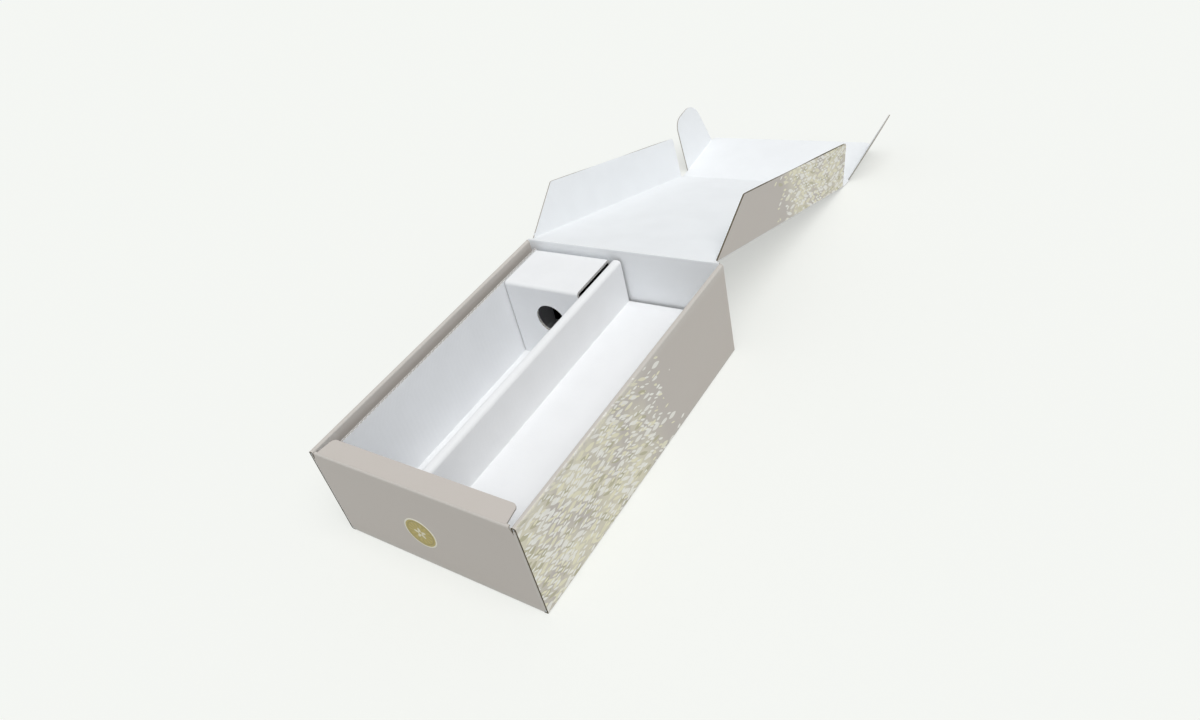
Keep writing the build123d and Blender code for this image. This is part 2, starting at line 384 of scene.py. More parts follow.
class BoardMesh:
    """Points, faces, finishes and UV places of a piece of board, gathered grid by grid."""

    def __init__(self):
        self.points = []
        self.faces = []
        self.finishes = []
        self.places = []
        self.bends = []
        self.count = 0

    def add(self, grid, places, bend, finish, closed=False, turn_over=False):
        """Adds a grid as one surface, with its UV places, fold marks and finish number."""
        rows, columns = grid.shape[:2]
        faces = quads(rows, columns, self.count, closed, turn_over)
        self.points.append(grid.reshape(-1, 3))
        self.faces.append(faces)
        self.finishes.append(np.full(len(faces), finish, dtype=np.int32))
        self.places.append(places.reshape(-1, 2))
        self.bends.append(np.broadcast_to(bend, (rows, columns)).reshape(-1))
        self.count += rows * columns

    def add_board(self, middle, thickness, faces, bend=None, closed=False, fluted=(), folded=(), cut=2):
        """Adds a board from its middle surface: two faces half a thickness off, and a rim.

        A rim runs from one face to the other along each side of the grid. A cut rim is flat and takes
        the finish numbered cut, with the length along it as U on the fluted sides. A folded rim is half
        a circle, each half takes the finish of its face, and a half disc closes it at both ends. All
        rims step from face to face by the cosine of an even angle, so that their points meet where two
        sides join.
        """
        normal = surface_normals(middle, closed)
        half = thickness / 2
        bend = 0 if bend is None else bend[:, None]
        lengths = np.stack([run_lengths(middle, 1), run_lengths(middle, 0)], axis=-1)
        self.add(middle + half * normal, lengths, bend, faces[0], closed, True)
        self.add(middle - half * normal, lengths, bend, faces[1], closed, False)
        sides = {
            "first row": (np.s_[0, :], np.s_[1, :], False),
            "last row": (np.s_[-1, :], np.s_[-2, :], True),
            "first column": (np.s_[:, 0], np.s_[:, 1], True),
            "last column": (np.s_[:, -1], np.s_[:, -2], False),
        }
        across = np.linspace(0, pi, RIM_POINTS)[:, None, None]
        width = (1 - np.cos(across[:, 0])) / 2
        fold = RIM_POINTS // 2
        for side, (edge, inside, turn_over) in sides.items():
            if closed and "column" in side:
                continue
            line = middle[edge]
            out = line - middle[inside]
            out = out / np.linalg.norm(out, axis=1, keepdims=True)
            flat = line[None] + half * np.cos(across) * normal[edge][None]
            lengthwise = run_lengths(line[None], 1) * (side in fluted)
            places = np.stack(np.broadcast_arrays(lengthwise, width), axis=-1)
            if side not in folded:
                self.add(flat, places, 0, cut, closed, turn_over)
                continue
            nose = flat + half * np.sin(across) * out[None]
            self.add(nose[:fold + 1], places[:fold + 1], 1, faces[0], closed, turn_over)
            self.add(nose[fold:], places[fold:], 1, faces[1], closed, turn_over)
            for column, turn_end in ((0, not turn_over), (-1, turn_over)):
                end = np.stack([flat[:, column], nose[:, column]])
                self.add(end, np.zeros((2, RIM_POINTS, 2)), 1, faces[0], False, turn_end)

    def build(self, name, finishes):
        """Welds what was gathered into one mesh object with its finishes, UV map and fold marks."""
        mesh = bpy.data.meshes.new(name)
        faces = np.concatenate(self.faces)
        mesh.from_pydata(np.concatenate(self.points).tolist(), [], faces.tolist())
        mesh.polygons.foreach_set("material_index", np.concatenate(self.finishes))
        places = np.concatenate(self.places)
        mesh.uv_layers.new(name="Board").data.foreach_set("uv", places[faces.ravel()].ravel())
        marks = mesh.attributes.new("fold", "FLOAT", "POINT")
        marks.data.foreach_set("value", np.concatenate(self.bends).astype(np.float32))
        shape = bmesh.new()
        shape.from_mesh(mesh)
        bmesh.ops.remove_doubles(shape, verts=shape.verts, dist=WELD_DISTANCE)
        shape.to_mesh(mesh)
        shape.free()
        mesh.polygons.foreach_set("use_smooth", np.ones(len(mesh.polygons), dtype=bool))
        mesh.set_sharp_from_angle(angle=SHARP_ANGLE)
        for finish in finishes:
            mesh.materials.append(finish)
        piece = bpy.data.objects.new(name, mesh)
        bpy.context.scene.collection.objects.link(piece)
        return piece


# Shader maths


class Value:
    """A number socket whose operators add Math nodes to its material."""

    def __init__(self, finish, socket):
        self.finish = finish
        self.socket = socket

    def maths(self, operation, *numbers):
        """The result of a Math node on these numbers or values."""
        inputs = dict(enumerate(numbers))
        return self.finish.node("ShaderNodeMath", {"operation": operation}, inputs)

    def __add__(self, other):
        return self.maths("ADD", self, other)

    def __radd__(self, other):
        return self.maths("ADD", other, self)

    def __sub__(self, other):
        return self.maths("SUBTRACT", self, other)

    def __rsub__(self, other):
        return self.maths("SUBTRACT", other, self)

    def __mul__(self, other):
        return self.maths("MULTIPLY", self, other)

    def __rmul__(self, other):
        return self.maths("MULTIPLY", other, self)

    def __truediv__(self, other):
        return self.maths("DIVIDE", self, other)

    def __pow__(self, other):
        return self.maths("POWER", self, other)

    def __lt__(self, other):
        return self.maths("LESS_THAN", self, other)

    def __abs__(self):
        return self.maths("ABSOLUTE", self)

    def sine(self):
        """The sine of the value in radians."""
        return self.maths("SINE", self)

    def floor(self):
        """The whole number below the value."""
        return self.maths("FLOOR", self)

    def larger(self, other):
        """The larger of two values."""
        return self.maths("MAXIMUM", self, other)

    def ramp(self, low, high):
        """0 up to low, 1 from high, and a smooth step between."""
        settings = {"interpolation_type": "SMOOTHSTEP", "clamp": True}
        inputs = {"Value": self, "From Min": low, "From Max": high, "To Min": 0, "To Max": 1}
        return self.finish.node("ShaderNodeMapRange", settings, inputs)


class Finish:
    """A material or a world in the making, and the one way to add a node to it."""

    def __init__(self, owner):
        self.owner = owner
        self.owner.use_nodes = True
        self.tree = self.owner.node_tree
        self.tree.nodes.clear()

    @classmethod
    def new(cls, name):
        """Starts a material."""
        return cls(bpy.data.materials.new(name))

    def node(self, kind, settings=None, inputs=None, output=0):
        """Adds a node, sets it up, then sets or links its sockets, and returns one output."""
        node = self.tree.nodes.new(kind)
        for name, value in (settings or {}).items():
            setattr(node, name, value)
        for name, value in (inputs or {}).items():
            if isinstance(value, Value):
                self.tree.links.new(value.socket, node.inputs[name])
            else:
                node.inputs[name].default_value = value
        return Value(self, node.outputs[output]) if node.outputs else None

    def split(self, vector):
        """The three numbers of a vector."""
        return [self.node("ShaderNodeSeparateXYZ", None, {0: vector}, index) for index in range(3)]

    def object_place(self):
        """The surface's place in the carton's own frame."""
        return self.node("ShaderNodeTexCoord", None, None, "Object")

    def board_place(self):
        """The place on the board's own UV map, in metres along its faces."""
        return self.node("ShaderNodeUVMap", {"uv_map": "Board"})

    def fold_mark(self):
        """1 along the board's folds and 0 on its flat panels."""
        return self.node("ShaderNodeAttribute", {"attribute_name": "fold"}, None, "Fac")

    def noise(self, place, scale, detail=3):
        """A cloudy number from 0 to 1."""
        inputs = {"Vector": place, "Scale": scale, "Detail": detail, "Roughness": 0.55}
        return self.node("ShaderNodeTexNoise", None, inputs)

    def chance(self, first, second):
        """A number from 0 to 1 that belongs to a pair of whole numbers."""
        pair = self.node("ShaderNodeCombineXYZ", None, {0: first, 1: second})
        return self.node("ShaderNodeTexWhiteNoise", {"noise_dimensions": "2D"}, {"Vector": pair})

    def mixed(self, share, first, second):
        """A colour between two colours. The node's colour sockets go by number: their names repeat."""
        inputs = {0: share, 6: solid(first), 7: solid(second)}
        return self.node("ShaderNodeMix", {"data_type": "RGBA"}, inputs, 2)

    def seen(self):
        """1 where the camera sees a surface directly, in a reflection or through something clear."""
        rays = ("Is Camera Ray", "Is Glossy Ray", "Is Transmission Ray")
        direct, mirrored, through = (self.node("ShaderNodeLightPath", None, None, ray) for ray in rays)
        return direct.larger(mirrored).larger(through)

    def relief(self, height, depth, strength):
        """A normal from a height that stands for a depth in metres."""
        inputs = {"Strength": strength, "Distance": depth, "Height": height}
        return self.node("ShaderNodeBump", None, inputs)

    def surface(self, colour, roughness, normal, **constants):
        """Closes the material with a Principled shader; constants go on the shader's own sockets."""
        inputs = {"Base Color": solid(colour), "Roughness": roughness}
        if normal is not None:
            inputs["Normal"] = normal
        inputs.update({name.replace("_", " "): value for name, value in constants.items()})
        shader = self.node("ShaderNodeBsdfPrincipled", None, inputs)
        self.node("ShaderNodeOutputMaterial", None, {"Surface": shader})
        return self.owner


def solid(colour):
    """A colour with its fourth number, or a value as it is."""
    return colour if isinstance(colour, Value) else (*tuple(colour)[:3], 1.0)


# Finishes


def flute_swell(finish, pitch):
    """The faint washboard that the board's waves press into its faces, from -1 to 1."""
    across = finish.split(finish.board_place())[0]
    return (across * (2 * pi / pitch)).sine()


def leaf_layer(finish, along, up, cover, leaf, seed):
    """One layer of leaves: where they lie, and a chance that belongs to each leaf.

    The height plus a slow sine of the length gives the rows, and whole steps along a row its cells. The
    leaves lean one way in even rows and the other way in odd ones. A leaf is where the distance from
    its own middle line is under a parabola of the place along it. Chances that belong to the cell set
    its width, and leave it out where the cover is low.
    """
    drift = (up + (along * (1 / (4.4 * leaf))).sine() * (0.8 * leaf) + along * 0.22) / (0.46 * leaf)
    row = drift.floor()
    lean = abs(row - (row * 0.5).floor() * 2) * 2 - 1
    steps = along / leaf + row * 0.37 + seed
    cell = steps.floor()
    lengthwise = (steps - cell - 0.5) * 2
    across = abs(drift - row - 0.5 + lengthwise * lean * 0.24)
    width = (0.24 + 0.2 * finish.chance(cell + seed, row)) * (1 - lengthwise * lengthwise * 1.06)
    kept = finish.chance(cell + seed + 7, row + 53) < cover
    return (width - across).ramp(-0.02, 0.05) * kept, finish.chance(cell + seed + 31, row + 17)


def leaf_pattern(finish, ground, colours, along, up, cover, leaf):
    """Two layers of drifting leaves over a washed ground: large ones below and small pearl ones on top."""
    wash = finish.noise(finish.object_place(), 24).ramp(0.36, 0.62)
    ground = finish.mixed(wash * cover.ramp(0.2, 0.9) * 0.6, ground, colours.cream)
    large, tint = leaf_layer(finish, along, up, cover * 0.95, leaf, 0)
    tone = finish.mixed(tint.ramp(0.25, 0.3), colours.olive, colours.cream)
    tone = finish.mixed(tint.ramp(0.62, 0.66), tone, colours.pearl)
    colour = finish.mixed(large * 0.8, ground, tone)
    small, tint = leaf_layer(finish, along, up, cover * 0.62, 0.52 * leaf, 11)
    tone = finish.mixed(tint.ramp(0.3, 0.34), colours.cream, colours.pearl)
    return finish.mixed(small * 0.9, colour, tone), large.larger(small)


def printed_finish(name, shapes, colours, pattern=None):
    """Matt taupe print on fine board, paler along the folds, with an optional leaf pattern."""
    finish = Finish.new(name)
    place = finish.object_place()
    cloud = finish.noise(place, 38)
    fibre = finish.noise(place, 1400, 2)
    ground = finish.mixed(cloud.ramp(0.25, 0.75) * 0.14, colours.print_ground, colours.print_worn)
    roughness = 0.5 + 0.12 * cloud
    if pattern:
        x, y, z = finish.split(place)
        ground, mask = leaf_pattern(finish, ground, colours, y, z, pattern(x, y, z), shapes.leaf_length)
        roughness = roughness - 0.14 * mask
    worn = finish.fold_mark() * (0.25 + 0.5 * finish.noise(place, 420).ramp(0.35, 0.7))
    colour = finish.mixed(worn, ground, colours.print_worn)
    height = 0.25 * fibre + 0.5 * cloud + 0.06 * flute_swell(finish, shapes.carton_flute)
    return finish.surface(colour, roughness, finish.relief(height, 0.12 * MM, 0.5), Specular_IOR_Level=0.35)


def liner_finish(name, tint, flute, depth, gloss=0.25):
    """Uncoated white liner: soft fibre, a trace of cloudiness and the washboard of the flutes."""
    finish = Finish.new(name)
    place = finish.object_place()
    cloud = finish.noise(place, 26)
    fibre = finish.noise(place, 1100)
    shade = tuple(part * 0.93 for part in tint)
    colour = finish.mixed(cloud.ramp(0.3, 0.75) * 0.35 + fibre * 0.1, tint, shade)
    height = 0.3 * fibre + 0.4 * cloud + depth * flute_swell(finish, flute)
    return finish.surface(colour, 0.72, finish.relief(height, 0.14 * MM, 0.5), Specular_IOR_Level=gloss)


def cut_edge_finish(name, paper, hollow_shade, flute):
    """The cut edge of corrugated board: two liners with a wave of paper between hollows painted dark as
    shade.
    """
    finish = Finish.new(name)
    along, across, _ = finish.split(finish.board_place())
    wave = 0.5 + 0.3 * (along * (2 * pi / flute)).sine()
    medium = 1 - abs(across - wave).ramp(0.06, 0.13)
    liners = abs(across - 0.5).ramp(0.33, 0.39)
    paper_share = medium.larger(liners)
    fibre = finish.noise(finish.object_place(), 2600, 2)
    aged = finish.mixed(fibre * 0.5, paper, tuple(part * 0.8 for part in paper))
    # Outside the paper, the hollows take the painted shade colour
    colour = finish.mixed(paper_share, hollow_shade, aged)
    height = paper_share + 0.3 * fibre
    return finish.surface(colour, 0.85, finish.relief(height, 0.5 * MM, 0.6), Specular_IOR_Level=0.15)


def seal_finish(colours, middle, radius):
    """Satin gold foil with a cream border, a pressed ring of rays and a pale rosette in the middle."""
    finish = Finish.new("seal_foil")
    x, _, z = finish.split(finish.object_place())
    side = (x - middle[0]) / radius
    up = (z - middle[2]) / radius
    away = (side * side + up * up) ** 0.5
    bearing = finish.node("ShaderNodeMath", {"operation": "ARCTAN2"}, {0: up, 1: side})
    border = away.ramp(0.9, 0.93)
    rays = (bearing * 14).sine() * away.ramp(0.46, 0.52) * (1 - away.ramp(0.68, 0.74))
    ring = 1 - abs(away - 0.79).ramp(0.02, 0.045)
    rosette = (0.27 + 0.13 * (bearing * 5).sine() - away).ramp(-0.02, 0.03) * away.ramp(0.07, 0.11)
    brushed = finish.noise(finish.object_place(), 900, 2)
    dark = tuple(part * 0.55 for part in colours.gold)
    face = finish.mixed((0.5 + 0.5 * rays) * 0.5 + ring * 0.5, colours.gold, dark)
    pale = border.larger(rosette * 0.65)
    colour = finish.mixed(pale, face, colours.seal_rim)
    height = 0.5 * rays + ring + 0.15 * brushed + pale
    metal = (1 - pale) * 0.5
    return finish.surface(colour, 0.34 + 0.3 * border, finish.relief(height, 0.2 * MM, 0.7), Metallic=metal)


def wall_cover(side, along, up):
    """How thickly the right wall's outside is strewn: full at the front, thinning out beyond the middle."""
    outside = side.ramp(TRAY_HIGH[0] - BOARD, TRAY_HIGH[0] - HALF_BOARD)
    return (along + up * 0.15).ramp(0.085, -0.05) * outside


def flap_cover(_side, along, up):
    """How thickly the right flap is strewn: bare at the hinge, full towards its far end."""
    return (along + up * 0.1).ramp(0.33, 0.43)


class Palette:
    """Every finish of the carton, made once."""

    made = None

    def __init__(self):
        shapes = bpy.context.scene.carton_shapes
        colours = bpy.context.scene.carton_colours
        self.print = printed_finish("carton_print", shapes, colours)
        self.wall_print = printed_finish("carton_print_wall", shapes, colours, wall_cover)
        self.flap_print = printed_finish("carton_print_flap", shapes, colours, flap_cover)
        self.liner = liner_finish("carton_liner", colours.liner, shapes.carton_flute, 0.05)
        flute, hollow_shade = shapes.carton_flute, colours.painted_hollow_shade
        self.edge = cut_edge_finish("carton_cut_edge", colours.cut_edge, hollow_shade, flute)
        # Cut edges of the side walls and the right flap: kraft brown darkened as painted shade, with hollows
        # darker still
        gap_with_painted_shade = tuple(part * 0.4 for part in colours.edge_with_painted_shade)
        self.edge_with_painted_shade = cut_edge_finish("carton_raw_edge", colours.edge_with_painted_shade, gap_with_painted_shade, flute)
        flute = shapes.insert_flute
        self.insert = liner_finish("insert_liner", colours.insert_liner, flute, 0.16)
        pale = tuple(0.12 * a + 0.88 * b for a, b in zip(colours.cut_edge, colours.insert_liner))
        self.insert_edge = cut_edge_finish("insert_cut_edge", pale, hollow_shade, flute)
        # The neck support's inside is near black with almost no gloss: painted shade for the closed room
        # behind the hole
        self.support_inside = liner_finish("support_inside", colours.painted_shade_board, flute, 0.16, 0.04)
        self.seal = seal_finish(colours, (SEAL_LOW + SEAL_HIGH) / 2, (SEAL_HIGH[0] - SEAL_LOW[0]) / 2)

    @classmethod
    def get(cls):
        """The finishes, made at the first call."""
        cls.made = cls.made or cls()
        return cls.made


def carton_finishes(outside=None, edge=None):
    """Print, liner and cut edge, the order in which a board's faces name them."""
    palette = Palette.get()
    return [outside or palette.print, palette.liner, edge or palette.edge]


def insert_finishes():
    """The insert's two like faces and its cut edge."""
    palette = Palette.get()
    return [palette.insert, palette.insert, palette.insert_edge]


def fitted(piece, body, slot, *nodes):
    """Puts a finished piece on its body, in place of its CAD nodes."""
    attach(piece, body)
    if nodes:
        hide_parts(*nodes)


# Pieces


class CARTON_OT_tray(bpy.types.Operator):
    """Folds the tray: end walls and base in one strip, rolled side walls, corner tabs and lock tabs"""

    bl_idname = "carton.tray"
    bl_label = "Tray"

    def execute(self, context):
        shapes = context.scene.carton_shapes
        strip = BoardMesh()
        rim = RIM_Z - HALF_BOARD
        ledge_root = -END_WALL_Y + FOLD_RADIUS + PLY_GAP
        corners = [(ledge_root, rim), (-END_WALL_Y, rim), (-END_WALL_Y, HALF_BOARD)]
        corners += [(END_WALL_Y, HALF_BOARD), (END_WALL_Y, HINGE[2])]
        path, marks = rounded_path(corners, FOLD_RADIUS, shapes.mesh_step)
        half_width = TAB_X - FOLD_RADIUS
        grid = carried(path, stations(-half_width, half_width, shapes.mesh_step, BORDERS), 0)
        # The rows over the front rim are drawn in, which leaves a relief notch at both corners
        at_rim = (path[:, 0] < 0) & (path[:, 1] > rim - 2 * FOLD_RADIUS)
        grid[..., 0] *= 1 - at_rim[:, None] * CORNER_NOTCH / half_width
        strip.add_board(grid, BOARD, (0, 1), marks, folded=("first row", "last row"))
        heights = stations(TAB_FOOT, RIM_Z - TAB_NOTCH, shapes.mesh_step, BORDERS)
        for side in (1, -1):
            for end in (-1, 1):
                wall = end * END_WALL_Y
                corner = [(side * half_width, wall), (side * TAB_X, wall)]
                corner.append((side * TAB_X, wall - end * TAB_LENGTH))
                # A trace less than the whole radius leaves a run before the arc
                path, marks = rounded_path(corner, FOLD_RADIUS * 0.999, shapes.mesh_step)
                faces = (1, 0) if side * end > 0 else (0, 1)
                strip.add_board(carried(path, heights, 2), BOARD, faces, marks)
        fitted(strip.build("tray_strip", carton_finishes()), "tray", "printed_board", "carton_tray")
        for side, name in ((1, "right"), (-1, "left")):
            self.side_wall(shapes, side, f"tray_{name}_wall")
        return {"FINISHED"}

    def side_wall(self, shapes, side, name):
        """A wall rolled over its rim and down again inside, with two lock tabs at its foot."""
        foot = OUTER_WALL_X - 2 * FOLD_RADIUS - BOARD
        outer, inner = side * OUTER_WALL_X, side * INNER_WALL_X
        corners = [(side * foot, HALF_BOARD), (outer, HALF_BOARD)]
        corners += [(outer, RIM_Z - HALF_BOARD), (inner, RIM_Z - HALF_BOARD), (inner, BOARD)]
        path, marks = rounded_path(corners, FOLD_RADIUS, shapes.mesh_step)
        half_length = TRAY_HIGH[1] - SIDE_SET_BACK
        grid = carried(path, stations(-half_length, half_length, shapes.mesh_step, BORDERS), 1)
        wall = BoardMesh()
        faces = (0, 1) if side < 0 else (1, 0)
        wall.add_board(grid, BOARD, faces, marks, fluted=("first column", "last column"))
        tab = np.array([(inner, LOCK_FOOT), (inner, BOARD)])
        for middle in (LOCK_SPACING / 2, -LOCK_SPACING / 2):
            width = stations(middle - LOCK_WIDTH / 2, middle + LOCK_WIDTH / 2, shapes.mesh_step)
            wall.add_board(carried(tab, width, 1), BOARD, (0, 0))
        palette = Palette.get()
        outside = palette.wall_print if side > 0 else None
        # The side walls' ends take the dark cut edge with painted shade
        fitted(wall.build(name, carton_finishes(outside, palette.edge_with_painted_shade)), "tray", "printed_board")


class CARTON_OT_ledge(bpy.types.Operator):
    """Lays the stiffening ledge along the front wall's rim, tapered and rounded at its ends"""

    bl_idname = "carton.ledge"
    bl_label = "Ledge"

    def execute(self, context):
        shapes = context.scene.carton_shapes
        depth = LEDGE_HIGH[1] - LEDGE_LOW[1]
        rows = rising_rows(0, depth, LEDGE_ROUND, FINE_STEP)
        edge = rounded_edge(rows, LEDGE_LOW[0], LEDGE_TAPER / depth, depth, LEDGE_ROUND)
        sheet = flat_sheet(rows, edge, -edge, shapes.mesh_step)
        grid = sheet[..., (1, 0, 2)] * (-1, 1, 1) + (0, LEDGE_LOW[1], LEDGE_LOW[2] + HALF_BOARD)
        ledge = BoardMesh()
        ledge.add_board(grid, BOARD, (0, 1), fluted=("last row",), folded=("first row",))
        fitted(ledge.build("ledge_board", carton_finishes()), "ledge", "printed_board", "front_ledge")
        return {"FINISHED"}


class CARTON_OT_lid(bpy.types.Operator):
    """Lays the lid panel open behind the tray, folded along its sides and its far edge"""

    bl_idname = "carton.lid"
    bl_label = "Lid panel"

    def execute(self, context):
        shapes = context.scene.carton_shapes
        across = stations(-FLAP_X, FLAP_X, shapes.mesh_step, BORDERS)
        near, far = np.full_like(across, LID_START), np.full_like(across, LID_LENGTH)
        grid = flat_sheet(across, near, far, shapes.mesh_step)
        grid = on_lid(bowed(grid, shapes.panel_bow, 2))
        lid = BoardMesh()
        sides = ("first row", "last row", "last column")
        lid.add_board(grid, BOARD, (1, 0), fluted=("first column",), folded=sides)
        fitted(lid.build("lid_board", carton_finishes()), "lid", "printed_board", "lid_panel")
        return {"FINISHED"}


class CARTON_OT_flaps(bpy.types.Operator):
    """Stands up the lid's side flaps, its tuck flap and the two rounded lock ears"""

    bl_idname = "carton.flaps"
    bl_label = "Flaps and ears"

    def execute(self, context):
        shapes = context.scene.carton_shapes
        palette = Palette.get()
        # The right flap's cut edges take the same dark edge with painted shade
        right_finishes = carton_finishes(palette.flap_print, palette.edge_with_painted_shade)
        self.side_flap(shapes, 1, RIGHT_FLAP_FOLD, "right", right_finishes)
        self.side_flap(shapes, -1, LEFT_FLAP_FOLD, "left", carton_finishes())
        self.front_flap(shapes)
        self.ear(1, RIGHT_EAR_X, RIGHT_EAR_FOLD, "right")
        self.ear(-1, LEFT_EAR_X, LEFT_EAR_FOLD, "left")
        return {"FINISHED"}

    def side_flap(self, shapes, side, fold, name, finishes):
        """A long flap whose near end slants to swing past the hinge."""
        rows = rising_rows(CREASE_START, SIDE_FLAP_HEIGHT, SIDE_FLAP_ROUND, shapes.mesh_step)
        slope = SIDE_FLAP_BEVEL / SIDE_FLAP_HEIGHT
        near = rounded_edge(rows, SIDE_FLAP_START, slope, SIDE_FLAP_HEIGHT, SIDE_FLAP_ROUND)
        far = -rounded_edge(rows, -SIDE_FLAP_END, 0, SIDE_FLAP_HEIGHT, SIDE_FLAP_ROUND)
        grid = flat_sheet(rows * side, near, far, shapes.mesh_step)
        grid = bowed(grid, 0.4 * shapes.panel_bow, 3)
        grid = on_lid(turned(grid, "Y", -side * fold, (side * FLAP_X, 0, 0)))
        flap = BoardMesh()
        faces = (1, 0) if side > 0 else (0, 1)
        flap.add_board(grid, BOARD, faces, fluted=("last row",), folded=("first row",))
        piece = flap.build(f"lid_{name}_flap_board", finishes)
        fitted(piece, f"{name}_flap", "printed_board", f"lid_{name}_flap")

    def front_flap(self, shapes):
        """The tuck flap, a little wider beyond its shoulders and rounded at its free corners."""
        rows = rising_rows(CREASE_START, FRONT_FLAP_LENGTH, FRONT_FLAP_ROUND, shapes.mesh_step)
        shoulder = np.clip((rows - CREASE_START) / (EAR_START - CREASE_START), 0, 1)
        corner = rounded_edge(rows, 0, 0, FRONT_FLAP_LENGTH, FRONT_FLAP_ROUND)
        left = LEFT_EAR_X + corner
        right = FLAP_X + (RIGHT_EAR_X - FLAP_X) * shoulder - corner
        sheet = flat_sheet(rows, left, right, shapes.mesh_step)
        grid = on_front_flap(bowed(sheet[..., (1, 0, 2)], 0.5 * shapes.panel_bow, 2))
        flap = BoardMesh()
        sides = ("first row", "first column", "last column")
        flap.add_board(grid, BOARD, (0, 1), fluted=("last row",), folded=sides)
        piece = flap.build("lid_front_flap_board", carton_finishes())
        fitted(piece, "front_flap", "printed_board", "lid_front_flap")

    def ear(self, side, crease, fold, name):
        """A lock ear with a slanting near edge and two round corners."""
        rows = rising_rows(CREASE_START, EAR_REACH, EAR_FAR_ROUND, FINE_STEP)
        near = rounded_edge(rows, EAR_START, EAR_NEAR_SLOPE, EAR_REACH, EAR_NEAR_ROUND)
        far = -rounded_edge(rows, -EAR_END, EAR_FAR_SLOPE, EAR_REACH, EAR_FAR_ROUND)
        grid = flat_sheet(rows * side, near, far, FINE_STEP)
        grid = on_front_flap(turned(grid, "Y", -side * fold, (crease, 0, 0)))
        ear = BoardMesh()
        faces = (1, 0) if side > 0 else (0, 1)
        ear.add_board(grid, BOARD, faces, fluted=("last row", "last column"), folded=("first row",))
        piece = ear.build(f"{name}_ear_board", carton_finishes())
        fitted(piece, f"{name}_ear", "printed_board", f"{name}_lock_ear")


def folded_directions(outward, normal, fold):
    """Where a panel folded up by an angle from flat points, and the normal of its inside."""
    c = cos(radians(fold))
    s = sin(radians(fold))
    return c * outward + s * normal, c * normal - s * outward


def crease_strip(
        name, finish, place, line, first, second, ends, reach=STRIP_REACH, rounding=STRIP_ROUND):
    """A thin strip of paper that bridges a crease, bent over its corner.

    place is a point of the crease and line its direction, from ends[0] to ends[1]. first and second
    each hold the direction in which a panel leaves the crease and the normal of its covered face. Two
    planes lifted off along those normals meet at place + lift * (n1 + n2) / (1 + n1 . n2), and the
    strip runs from one plane to the other over that corner, rounded.
    """
    leave, normal = first
    onward, onward_normal = second
    corner = STRIP_LIFT * (normal + onward_normal) / (1 + normal @ onward_normal)
    corners = [corner + reach * leave, corner, corner + reach * onward]
    path, _ = rounded_path([(point @ leave, point @ normal) for point in corners], rounding, STRIP_FOLD_STEP)
    places = stations(*ends, STRIP_STEP)[:, None]
    grid = place + path[:, None, :1] * leave + path[:, None, 1:] * normal + places * line
    strip = BoardMesh()
    strip.add_board(grid, STRIP_BOARD, (0, 0), cut=0)
    piece = strip.build(name, [finish])
    tuple(place + reach * leave)
    tuple(place + reach * onward)
    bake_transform(piece)


class CARTON_OT_creases(bpy.types.Operator):
    """Bridges every crease with a strip of the board's own paper, bent over the crease"""

    bl_idname = "carton.creases"
    bl_label = "Creases"

    def execute(self, context):
        palette = Palette.get()
        across, along, up = np.eye(3)
        lid_along = turned(along, "X", LID_TURN, (0, 0, 0))
        lid_up = turned(up, "X", LID_TURN, (0, 0, 0))
        flap_along = turned(lid_along, "X", FRONT_FLAP_TURN, (0, 0, 0))
        flap_up = turned(lid_up, "X", FRONT_FLAP_TURN, (0, 0, 0))
        right = (1, "right", RIGHT_FLAP_FOLD, RIGHT_EAR_X, RIGHT_EAR_FOLD)
        left = (-1, "left", LEFT_FLAP_FOLD, LEFT_EAR_X, LEFT_EAR_FOLD)
        for side, name, flap_fold, ear_x, ear_fold in (right, left):
            outward = side * across
            crease_strip(
                f"{name}_flap_crease", palette.liner, HINGE + FLAP_X * outward,
                lid_along, (-outward, lid_up), folded_directions(outward, lid_up, flap_fold),
                (FLAP_STRIP_START, SIDE_FLAP_END - STRIP_INSET))
            crease_strip(
                f"{name}_ear_crease", palette.liner, LID_FAR + ear_x * across,
                flap_along, (-outward, flap_up), folded_directions(outward, flap_up, ear_fold),
                (EAR_STRIP_START, EAR_STRIP_END))
        crease_strip(
            "front_flap_crease", palette.liner, LID_FAR,
            across, (-lid_along, lid_up), (flap_along, flap_up),
            (LEFT_EAR_X + STRIP_INSET, FLAP_X - STRIP_INSET))
        crease_strip(
            "lid_hinge_crease", palette.liner, HINGE,
            across, (-up, -along), (lid_along, lid_up),
            (-FLAP_X + STRIP_INSET, FLAP_X - STRIP_INSET), HINGE_STRIP_REACH, HINGE_STRIP_ROUND)
        ledge_fold = CREASES["ledge_fold"]["pos_m"] + HALF_BOARD * up
        crease_strip(
            "ledge_crease", palette.print, ledge_fold,
            across, (-along, up), (along, up),
            (LEDGE_LOW[0] + STRIP_INSET, LEDGE_HIGH[0] - STRIP_INSET), LEDGE_STRIP_REACH)
        return {"FINISHED"}


